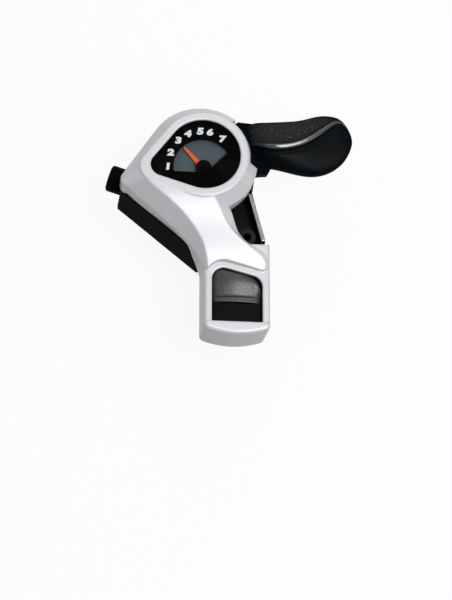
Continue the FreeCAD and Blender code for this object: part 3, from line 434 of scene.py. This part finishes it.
def rounded_corner(before, corner, after, radius, steps=8):
    """Points of an arc that rounds a corner: two radii of the arc, swung from one into the
    other. A radius of 0 gives the corner itself."""
    if radius == 0:
        return corner[None]
    one = (before - corner) / np.linalg.norm(before - corner)
    two = (after - corner) / np.linalg.norm(after - corner)
    half = math.acos(np.clip(one @ two, -1, 1)) / 2
    middle = corner + (one + two) / np.linalg.norm(one + two) * radius / math.sin(half)
    start = corner + one * radius / math.tan(half) - middle
    stop = corner + two * radius / math.tan(half) - middle
    turn = math.pi - 2 * half
    t = np.linspace(0, 1, steps)[:, None]
    swung = start * np.sin((1 - t) * turn) + stop * np.sin(t * turn)
    return middle + swung / math.sin(turn)


def rounded_outline(corners, radii):
    """Closed plan outline through corners, each rounded by an arc of its radius."""
    around = zip(np.roll(corners, 1, 0), corners, np.roll(corners, -1, 0), radii)
    return np.vstack([rounded_corner(*corner) for corner in around])


def rounded_slab(outline, low, high, edge):
    """Points and faces of an upright slab over a plan outline with softened edges: the outline
    is repeated up a profile that leans in at the bottom and the top."""
    along = np.roll(outline, -1, 0) - np.roll(outline, 1, 0)
    normal = np.stack([along[:, 1], -along[:, 0]], -1)
    normal /= np.linalg.norm(normal, axis=1)[:, None]
    soft = 0.3 * edge
    profile = ((edge, low), (soft, low + soft), (0, low + edge),
               (0, high - edge), (soft, high - soft), (edge, high))
    n = len(outline)
    rows = [np.column_stack([outline - normal * inset, np.full(n, z)]) for inset, z in profile]
    return np.vstack(rows), tube_faces(len(profile), n)


def turned_ring(profile, start, stop, steps):
    """Points and faces of a closed (radius, height) profile turned about the lever's axis
    between two directions in degrees; a full turn closes on itself."""
    full = stop - start >= 360
    angles = np.radians(np.linspace(start, stop, steps, endpoint=not full))
    r, z = np.array(profile).T
    x = LEVER_AXIS[0] + np.outer(np.cos(angles), r)
    y = LEVER_AXIS[1] + np.outer(np.sin(angles), r)
    points = np.stack([x, y, np.tile(z, (steps, 1))], -1).reshape(-1, 3)
    if full:
        return points, grid_quads(steps, len(profile), loop=True, flip=True)
    return points, tube_faces(steps, len(profile), flip=True)


# The bracket's rim is bright between two depths under its top, with painted shade below them.
# Its hollow post, placed from the needle's axis, keeps the painted shade.
RIM_DEPTHS = (1.6, 0.4)
POST_PLACE = (18.8, -21.3)
POST_R = 3.5

INNER_PLASTIC = ("cable_spool", "drive_sector", "needle_pinion", "detent_washer")
PLATED = ("pivot_bolt", "pivot_nut", "thrust_washer", "clamp_band", "clamp_bolt", "clamp_nut",
          "hook_pin", "cover_screws", "drive_dowels", "adjuster_bolt")
SPRINGS = ("wave_washer", "index_spring", "index_plate", "adjuster_spring")


class SHIFTER_OT_finishes(bpy.types.Operator):
    """Gives every solid its finish"""
    bl_idname = "shifter.finishes"
    bl_label = "Finishes"

    def execute(self, context):
        colours = context.scene.shifter_colours
        paint(("top_cover",), silver_paint(colours.silver))
        black = black_plastic("black_plastic", colours.black)
        paint(("base_housing", "adjuster_knob", "bolt_cap"), black)
        dial = smooth_plastic("dial_black", colours.dial, 0.5, shine=0.03)
        paint(("dial_plate",), dial)
        backing = smooth_plastic("dial_grey", colours.backing, 0.5, shine=0.05)
        paint(("dial_backing",), backing)
        paint(("dial_lens",), clear_lens())
        needle = smooth_plastic("needle_red", colours.needle, 0.4, shine=0.1)
        paint(("indicator_needle",), needle)
        inner = smooth_plastic("white_plastic", colours.inner, 0.5)
        paint(INNER_PLASTIC, inner)
        paint(PLATED, plated_steel("bright_steel", colours.steel, 0.28))
        paint(SPRINGS, plated_steel("spring_steel", colours.spring, 0.3))
        paint(("steel_bracket",), self.bracket(colours))
        return {"FINISHED"}

    def bracket(self, colours):
        """Finish of the bracket, with its rim and post where the solid has them."""
        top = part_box("steel_bracket")[1].z / MM
        low, high = (top - depth for depth in RIM_DEPTHS)
        post = (*(NEEDLE_AXIS[:2] + POST_PLACE), 0.0)
        return bracket_steel(colours.rim, colours.plate, low, high, post, POST_R)


# Lever stations: distance out from the axis, then side and height of the near edge, of the rim
# and of the far edge, the height of the underside and the share of the full bead on the rim.
# Heights are over the housing's underside. The last station is the tip, a single point.
LEVER_DIR = 10.0
LEVER_STATIONS = np.array((
    (20.0, -3.0, 12.0, 6.8, 14.0, 13.6, 13.6, 10.9, 0.2),
    (23.0, -3.4, 12.4, 5.6, 17.4, 14.2, 16.8, 10.8, 0.6),
    (28.0, -4.4, 13.0, 3.5, 20.2, 13.4, 18.4, 10.6, 1.0),
    (35.0, -7.4, 13.6, 2.8, 20.6, 12.5, 19.2, 11.2, 1.0),
    (42.0, -9.8, 14.0, 4.1, 20.6, 12.2, 19.6, 11.8, 1.0),
    (49.0, -9.6, 14.4, 7.3, 20.4, 12.9, 19.8, 12.0, 1.0),
    (55.0, -6.9, 15.2, 10.0, 20.0, 12.0, 19.4, 13.0, 0.7),
    (58.8, -2.9, 16.2, 8.4, 18.9, 9.2, 18.5, 14.4, 0.3),
    (60.9, 2.4, 17.2, 2.4, 17.2, 2.4, 17.2, 17.2, 0.0),
))
LEVER_STEPS = 150
SECTION_STEPS = 14

# Marks on the paddle, each from one corner of its section to another, and the fade at their ends.
LEVER_MARKS = {"dish": (7.6, 12), "bead": (5, 7.4)}
MARK_FADE = 0.5

# Root of the lever: outer corners in plan from the needle's axis with their radii, then two sharp
# inner corners as radius and direction from the lever's axis.
ROOT_CORNERS = ((21.2, 3.0), (26.4, 3.6), (27.9, 6.4), (27.4, 21.8), (22.8, 24.0), (14.5, 24.6))
ROOT_RADII = (0.8, 0.8, 1.6, 2.4, 2.0, 1.0, 0, 0)
ROOT_INNER = ((14.0, 60.0), (14.0, -25.0))
ROOT_STEP = 0.5
ROOT_EDGE = 0.5

# Hub and drum: radii, the drum's directions in degrees and the gaps over the hub and the drum.
PIVOT_R = 3.05
HUB_R = 16.8
HUB_STEPS = 128
DRUM_R = 16.6
DRUM_RANGE = (-40.0, 100.0)
DRUM_STEPS = 96
THRUST_GAP = 0.05
RUN_GAP = 0.9


def lever_controls(stations):
    """Control polygon of each lever section, as (station, corner, side and height): the near
    edge, the face up to its shoulder, a groove, the bead on the rim, the dish, the far edge and
    the underside."""
    v_lo, z_lo, v_rim, z_rim, v_hi, z_hi, z_under, bead = stations[:, 1:].T
    width = v_hi - v_lo
    face = v_rim - v_lo
    rise = z_rim - z_lo
    dish = v_hi - v_rim
    fall = z_rim - z_hi
    depth = z_hi - z_under
    corners = (
        # near edge and face
        (v_lo - 0.02 * width, z_lo),
        (v_lo + 0.05 * face, z_lo + 0.34 * rise),
        (v_lo + 0.34 * face, z_lo + 0.62 * rise),
        # groove
        (v_rim - 3.7 * bead, z_rim - 1.5 * bead),
        (v_rim - 2.6 * bead, z_rim - 1.9 * bead),
        # bead
        (v_rim - 1.8 * bead, z_rim - 0.5 * bead),
        (v_rim - 0.9 * bead, z_rim - 0.1 * bead),
        (v_rim, z_rim + 0.2 * bead),
        (v_rim + 0.6 * bead, z_rim - 0.6 * bead),
        # dish
        (v_rim + 1.4 * bead, z_rim - 2.1 * bead),
        (v_rim + 0.50 * dish, z_rim - 0.6 * fall - 2.4 * bead),
        (v_hi - 0.12 * dish, z_hi - 0.9 * bead),
        # far edge
        (v_hi, z_hi + 0.2 * bead),
        (v_hi + 0.3 * bead, z_hi - 0.6 * bead),
        # underside
        (v_hi - 0.04 * width, z_under + 0.30 * depth),
        (v_hi - 0.30 * width, z_under - 0.04 * depth),
        (v_lo + 0.30 * width, z_under - 0.04 * depth),
        (v_lo + 0.05 * width, z_under + 0.40 * (z_lo - z_under)),
    )
    return np.moveaxis(np.array(corners), 2, 0)


class SHIFTER_OT_lever(bpy.types.Operator):
    """Builds the thumb lever: paddle, root, hub and drum"""
    bl_idname = "shifter.lever"
    bl_label = "Lever"

    def execute(self, context):
        colours = context.scene.shifter_colours
        plain = black_plastic("root_plastic", colours.black)
        wall = context.scene.shifter_sizes.drum_wall / MM
        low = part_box("cable_spool")[1].z / MM
        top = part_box("thrust_washer")[0].z / MM - THRUST_GAP
        drum_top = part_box("dial_backing")[0].z / MM - RUN_GAP
        hub = self.ring((PIVOT_R, HUB_R), (low, top), (0, 360), HUB_STEPS)
        drum = self.ring((DRUM_R - wall, DRUM_R), (top, drum_top), DRUM_RANGE, DRUM_STEPS)
        rest = (plain, "lever", "black_plastic")
        pieces = (
            self.paddle(lever_plastic(colours.black)),
            add_piece("lever_root", *self.root(top - ROOT_STEP), *rest),
            add_piece("lever_hub", *hub, *rest, smooth=False),
            add_piece("lever_drum", *drum, *rest, smooth=False),
        )
        for piece in pieces:
            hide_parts("thumb_lever")
        return {"FINISHED"}

    def ring(self, radii, heights, directions, steps):
        """Square profile between two radii and two heights, turned about the lever's axis."""
        (inner, outer), (low, high) = radii, heights
        profile = ((inner, low), (outer, low), (outer, high), (inner, high))
        return turned_ring(profile, *directions, steps)

    def root(self, top):
        """Slab with rounded corners that joins the paddle to the hub, up to a height."""
        radius, direction = np.array(ROOT_INNER).T
        angle = np.radians(direction)
        inner = np.column_stack([radius * np.cos(angle), radius * np.sin(angle)])
        corners = np.vstack([ROOT_CORNERS + NEEDLE_AXIS[:2], inner + LEVER_AXIS[:2]])
        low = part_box("thumb_lever")[0].z / MM
        return rounded_slab(rounded_outline(corners, ROOT_RADII), low, top, ROOT_EDGE)

    def paddle(self, material):
        """Skin of the paddle: every quantity of the stations is a cubic spline along the lever,
        each section is a closed cubic curve with a bead on the rim, and the last one is a point."""
        flat = np.arange(LEVER_STATIONS.shape[1]) == 0
        stations = spline_through(LEVER_STATIONS, LEVER_STEPS, flat)
        sections = closed_curve(lever_controls(stations), SECTION_STEPS)
        columns = sections.shape[1]
        tip = (LEVER_STEPS - 1) * columns
        u = stations[:, :1]
        v, z = sections[..., 0], sections[..., 1]
        a = math.radians(LEVER_DIR)
        x = LEVER_AXIS[0] + u * math.cos(a) - v * math.sin(a)
        y = LEVER_AXIS[1] + u * math.sin(a) + v * math.cos(a)
        points = np.stack([x, y, z + UNDERSIDE], -1).reshape(-1, 3)[:tip + 1]
        ring = np.arange(columns)
        last = tip - columns + ring
        fan = np.column_stack([np.full(columns, tip), np.roll(last, -1), last])
        faces = grid_quads(LEVER_STEPS - 1, columns, flip=True) + fan.tolist() + [ring.tolist()]
        piece = add_piece("lever_paddle", points, faces, material, "lever", "black_plastic")
        corner = ring / SECTION_STEPS
        bead = np.clip(stations[:, -1:], 0, 1)
        for name, (start, stop) in LEVER_MARKS.items():
            begun = np.clip((corner - start) / MARK_FADE, 0, 1)
            ahead = np.clip((stop - corner) / MARK_FADE, 0, 1)
            add_mark(piece, name, (begun * ahead * bead).ravel()[:tip + 1])
        return piece


# Cap over the clamp bolt. The corners of its section run from the near edge over the lower face,
# the lip, the crease and the crown to the far edge: place along Y, height over the block's top and
# share of the crown's fall to the sides. The second row of corners is measured from the far edge,
# and the last corner of the first row keeps clear of that edge.
CAP_SECTION = np.array((
    (-18.5, -3.0, 0.0), (-18.6, -2.5, 0.0), (-18.5, -2.1, 0.1), (-15.0, -1.9, 0.2),
    (-12.0, -1.75, 0.2), (-10.9, -1.75, 0.2), (-10.7, -1.2, 0.6), (-10.1, -0.8, 0.8),
    (-9.4, -0.9, 0.8), (-8.8, -0.95, 0.9), (-8.4, -0.3, 1.0), (-7.0, 0.1, 1.0), (-4.0, 0.75, 1.0),
))
CAP_FAR_SECTION = np.array((
    (-2.2, 0.95, 1.0), (-0.6, 0.7, 1.0), (0.0, 0.0, 1.0), (0.0, -1.2, 0.5), (0.0, -3.0, 0.0),
))
CAP_FAR_CLEAR = 3.0
# The far edge crosses the middle at this Y and slants by this share of X.
CAP_FAR = 1.05
CAP_SLANT = -0.254
CAP_BARREL = 32.0
CAP_OVER_BLOCK = 0.9
# Corners of the section between which the cap shines: a glossy coat, and a lighter colour that is painted sheen.
CAP_SHEEN = (6.2, 14.5)
CAP_COLUMNS = 72
CAP_STEPS = 8


def edge_fall(inside, radius):
    """How far a quarter circle of that radius has fallen, at distances inside the edge."""
    short = np.clip(radius - inside, 0, radius)
    return radius - np.sqrt(radius ** 2 - short ** 2)


class SHIFTER_OT_cap(bpy.types.Operator):
    """Builds the cap that covers the clamp bolt"""
    bl_idname = "shifter.cap"
    bl_label = "Cap"

    def execute(self, context):
        points = self.skin(context.scene.shifter_sizes)
        columns = points.shape[1]
        faces = tube_faces(CAP_COLUMNS, columns, flip=True)
        material = cap_plastic(context.scene.shifter_colours.black)
        cap = add_piece("cap_crown", points.reshape(-1, 3), faces, material, "housing",
                        "black_plastic")
        corner = np.arange(columns) / CAP_STEPS
        start, stop = CAP_SHEEN
        sheen = np.clip(corner - start, 0, 1) * np.clip(stop - corner, 0, 1)
        add_mark(cap, "sheen", np.tile(sheen, CAP_COLUMNS))
        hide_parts("bolt_cap")
        return {"FINISHED"}

    def skin(self, sizes):
        """Skin of the cap: a closed cubic section in the YZ plane, carried along X. Circular arcs
        lower it at the sides and shorten it at the far corners, and a barrel crowns it."""
        half = sizes.cap_half / MM
        x = -half * np.cos(np.linspace(0, math.pi, CAP_COLUMNS))
        inside = half - np.abs(x)
        fall = edge_fall(inside, sizes.cap_edge / MM) + x ** 2 / (2 * CAP_BARREL)
        far = CAP_FAR + CAP_SLANT * x - edge_fall(inside, sizes.cap_corner / MM)
        near = np.tile(CAP_SECTION[:, 0], (CAP_COLUMNS, 1))
        near[:, -1] = np.minimum(near[:, -1], far - CAP_FAR_CLEAR)
        y = np.hstack([near, far[:, None] + CAP_FAR_SECTION[:, 0]])
        height, share = np.vstack([CAP_SECTION, CAP_FAR_SECTION])[:, 1:].T
        z = height - np.outer(fall, share)
        sections = closed_curve(np.stack([y, z], -1), CAP_STEPS)
        across = np.broadcast_to(x[:, None, None], sections.shape[:2] + (1,))
        points = np.concatenate([across, sections], -1)
        points[..., 2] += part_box("bolt_cap")[1].z / MM - CAP_OVER_BLOCK
        return points


# Plated edge along the open side of the tray: two ends in plan, half of its section as distance
# from the middle and height over the tray's wall, and the height of that wall.
EDGE_ENDS = np.array(((6.1, 36.8), (11.5, 17.15)))
EDGE_SECTION = np.array((
    (0.0, 0.05), (0.25, 0.05), (0.4, 0.13), (0.55, 0.15), (0.7, 0.12), (0.78, 0.02), (0.78, -0.1),
))
EDGE_WALL = 20.5
EDGE_STEPS = 40


class SHIFTER_OT_edge(bpy.types.Operator):
    """Lays the plated edge along the open side of the tray"""
    bl_idname = "shifter.edge"
    bl_label = "Edge"

    def execute(self, context):
        """Skin of the edge: a flat section with two ridges, carried along a straight line."""
        start, stop = EDGE_ENDS
        along = (stop - start) / np.linalg.norm(stop - start)
        across = np.array((-along[1], along[0]))
        section = np.vstack([EDGE_SECTION[::-1] * (-1, 1), EDGE_SECTION[1:]])
        middle = start + np.linspace(0, 1, EDGE_STEPS)[:, None] * (stop - start)
        plan = middle[:, None, :] + section[None, :, :1] * across
        height = np.broadcast_to(section[:, 1:] + EDGE_WALL, plan.shape[:2] + (1,))
        points = np.concatenate([plan, height], -1).reshape(-1, 3)
        faces = tube_faces(EDGE_STEPS, len(section), flip=True)
        steel = plated_steel("edge_steel", context.scene.shifter_colours.edge, 0.25)
        add_piece("tray_edge", points, faces, steel, "housing", "bright_steel")
        return {"FINISHED"}


# Middles of the figures, from 1 up, in plan from the needle's axis, and how they are drawn.
NUMBER_PLACES = ((-13.7, -0.3), (-12.8, 5.5), (-9.9, 10.6), (-6.2, 13.6), (-1.5, 14.8),
                 (2.3, 14.6), (7.3, 12.0))
NUMBER_STRETCH = 1.35
NUMBER_SHEAR = 0.10
NUMBER_WEIGHT = 0.065
NUMBER_STEPS = 6
# Smallest area of a face of the drawn figure that is kept.
SMALLEST_FACE = 1e-7


class SHIFTER_OT_numbers(bpy.types.Operator):
    """Prints the gear numbers on the dial"""
    bl_idname = "shifter.numbers"
    bl_label = "Numbers"

    def execute(self, context):
        sizes = context.scene.shifter_sizes
        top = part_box("dial_plate")[1].z / MM + sizes.number_lift / MM
        points = np.zeros((0, 3))
        faces = []
        for gear, place in enumerate(NUMBER_PLACES, 1):
            flat, polygons = self.figure(context, str(gear))
            plan = flat * sizes.number_height / MM + NEEDLE_AXIS[:2] + place
            faces += [[len(points) + i for i in polygon] for polygon in polygons]
            points = np.vstack([points, np.column_stack([plan, np.full(len(plan), top)])])
        white = smooth_plastic("print_white", context.scene.shifter_colours.figures, 0.5)
        add_piece("dial_numbers", points, faces, white, "housing", "dial_black", smooth=False)
        return {"FINISHED"}

    def figure(self, context, text):
        """Flat outline of one figure, centred and one unit high, with its faces."""
        curve = bpy.data.curves.new("figure", "FONT")
        curve.body = text
        curve.shear = NUMBER_SHEAR
        curve.offset = NUMBER_WEIGHT
        curve.resolution_u = NUMBER_STEPS
        shown = bpy.data.objects.new("figure", curve)
        context.scene.collection.objects.link(shown)
        ready = shown.evaluated_get(context.evaluated_depsgraph_get())
        mesh = bpy.data.meshes.new_from_object(ready)
        points = np.zeros(len(mesh.vertices) * 3)
        mesh.vertices.foreach_get("co", points)
        flat = points.reshape(-1, 3)[:, :2]
        polygons = [list(p.vertices) if p.normal.z > 0 else list(p.vertices)[::-1]
                    for p in mesh.polygons if p.area > SMALLEST_FACE]
        bpy.data.objects.remove(shown)
        bpy.data.curves.remove(curve)
        bpy.data.meshes.remove(mesh)
        low, high = flat.min(0), flat.max(0)
        size = np.array((NUMBER_STRETCH, 1.0)) / (high[1] - low[1])
        return (flat - (low + high) / 2) * size, polygons


# Camera: its focal length in pixels of a picture of that height, its place from the middle of the
# dial in millimetres, and the directions of its right and its up.
PICTURE_HEIGHT = 600
FOCAL_PIXELS = 1578.9
SENSOR = 36.0
CAMERA_OFFSET = np.array((-60.51, -230.57, 553.02))
CAMERA_RIGHT = Vector((0.99234, 0.0, 0.12356))
CAMERA_UP = Vector((-0.03751, 0.95282, 0.30121))
CAMERA_CLIP = 0.01

# Floor: half its side and its gap under the object, its grey to bounced light and to the eye, and
# the share of plain white that the eye gets.
FLOOR_HALF = 1.5
FLOOR_GAP = 0.0005
FLOOR_GREY = (0.15, 0.15, 0.15)
FLOOR_SEEN = (0.9, 0.9, 0.9)
FLOOR_WHITE = 0.92
SEEN_RAYS = ("Is Camera Ray", "Is Glossy Ray", "Is Transmission Ray")

# Light: the sky's colour and strength, and the lamps by name, place, side and power, all turned
# to one point.
SKY_COLOUR = (0.94, 0.97, 1.0)
SKY_STRENGTH = 0.18
LAMPS = (
    ("key", (0.20, -0.12, 0.80), 0.40, 3.7),
    ("side", (0.50, -0.28, 0.45), 0.30, 0.3),
    ("back", (0.05, 0.55, 0.55), 0.5, 1.0),
    ("fill", (-0.50, 0.10, 0.60), 0.6, 0.4),
)
LAMP_AIM = Vector((0.0, 0.02, 0.01))


class SHIFTER_OT_stage(bpy.types.Operator):
    """Sets the floor, the light and the camera"""
    bl_idname = "shifter.stage"
    bl_label = "Stage"

    def execute(self, context):
        scene = context.scene
        scene.view_settings.view_transform = "Standard"
        self.camera(scene)
        self.floor(scene)
        self.lights(scene)
        return {"FINISHED"}

    def camera(self, scene):
        """Camera placed from the middle of the dial."""
        lens = bpy.data.cameras.new("camera")
        lens.sensor_fit = "VERTICAL"
        lens.sensor_height = SENSOR
        lens.lens = FOCAL_PIXELS * SENSOR / PICTURE_HEIGHT
        lens.clip_start = CAMERA_CLIP
        camera = bpy.data.objects.new("camera", lens)
        scene.collection.objects.link(camera)
        right = CAMERA_RIGHT.normalized()
        up = CAMERA_UP.normalized()
        turn = Matrix((right, up, right.cross(up))).transposed().to_4x4()
        place = np.array((NEEDLE_AXIS[0], NEEDLE_AXIS[1], DIAL_PLANE)) + CAMERA_OFFSET
        camera.matrix_world = Matrix.Translation(Vector(place * MM)) @ turn
        scene.camera = camera

    def floor(self, scene):
        """White to the eye, with the object's shadow, and grey to the light that bounces off."""
        low = CAD_BOUNDS[0][2] - FLOOR_GAP
        corners = [(x * FLOOR_HALF, y * FLOOR_HALF, low)
                   for x, y in ((-1, -1), (1, -1), (1, 1), (-1, 1))]
        mesh = bpy.data.meshes.new("floor")
        mesh.from_pydata(corners, [], [(0, 1, 2, 3)])
        floor = bpy.data.objects.new("floor", mesh)
        scene.collection.objects.link(floor)
        f = Finish("pale_floor")
        camera, glossy, sent = (f.node("ShaderNodeLightPath", out=ray) for ray in SEEN_RAYS)
        seen = camera + glossy + sent
        grey = f.mix(seen, FLOOR_GREY, FLOOR_SEEN)
        shade = f.node("ShaderNodeBsdfDiffuse", None, {"Color": grey})
        white = f.node("ShaderNodeEmission", None, {"Color": rgba((1, 1, 1)), "Strength": 1.0})
        inputs = {0: seen * FLOOR_WHITE, 1: shade, 2: white}
        mesh.materials.append(f.close(f.node("ShaderNodeMixShader", None, inputs)))

    def lights(self, scene):
        """Even pale sky and four soft square lamps."""
        scene.world = bpy.data.worlds.new("studio")
        scene.world.use_nodes = True
        sky = scene.world.node_tree.nodes["Background"]
        sky.inputs["Color"].default_value = rgba(SKY_COLOUR)
        sky.inputs["Strength"].default_value = SKY_STRENGTH
        for name, place, side, power in LAMPS:
            light = bpy.data.lights.new(name, "AREA")
            light.size = side
            light.energy = power
            lamp = bpy.data.objects.new(name, light)
            scene.collection.objects.link(lamp)
            lamp.location = place
            aim = LAMP_AIM - Vector(place)
            lamp.rotation_euler = aim.to_track_quat("-Z", "Y").to_euler()


STEPS = (SHIFTER_OT_finishes, SHIFTER_OT_lever, SHIFTER_OT_cap, SHIFTER_OT_edge,
         SHIFTER_OT_numbers, SHIFTER_OT_stage)


class SHIFTER_PT_panel(bpy.types.Panel):
    """Lists the steps that dress the shifter"""
    bl_idname = "SHIFTER_PT_panel"
    bl_label = "Shifter"
    bl_space_type = "VIEW_3D"
    bl_region_type = "UI"
    bl_category = "Shifter"

    def draw(self, context):
        for step in STEPS:
            self.layout.operator(step.bl_idname)


CLASSES = (ShifterColours, ShifterSizes) + STEPS + (SHIFTER_PT_panel,)


def register():
    for cls in CLASSES:
        bpy.utils.register_class(cls)
    bpy.types.Scene.shifter_colours = bpy.props.PointerProperty(type=ShifterColours)
    bpy.types.Scene.shifter_sizes = bpy.props.PointerProperty(type=ShifterSizes)


def unregister():
    del bpy.types.Scene.shifter_sizes
    del bpy.types.Scene.shifter_colours
    for cls in reversed(CLASSES):
        bpy.utils.unregister_class(cls)


def main():
    register()
    bpy.ops.shifter.finishes()
    bpy.ops.shifter.lever()
    bpy.ops.shifter.cap()
    bpy.ops.shifter.edge()
    bpy.ops.shifter.numbers()
    bpy.ops.shifter.stage()


if __name__ == "__main__":
    main()
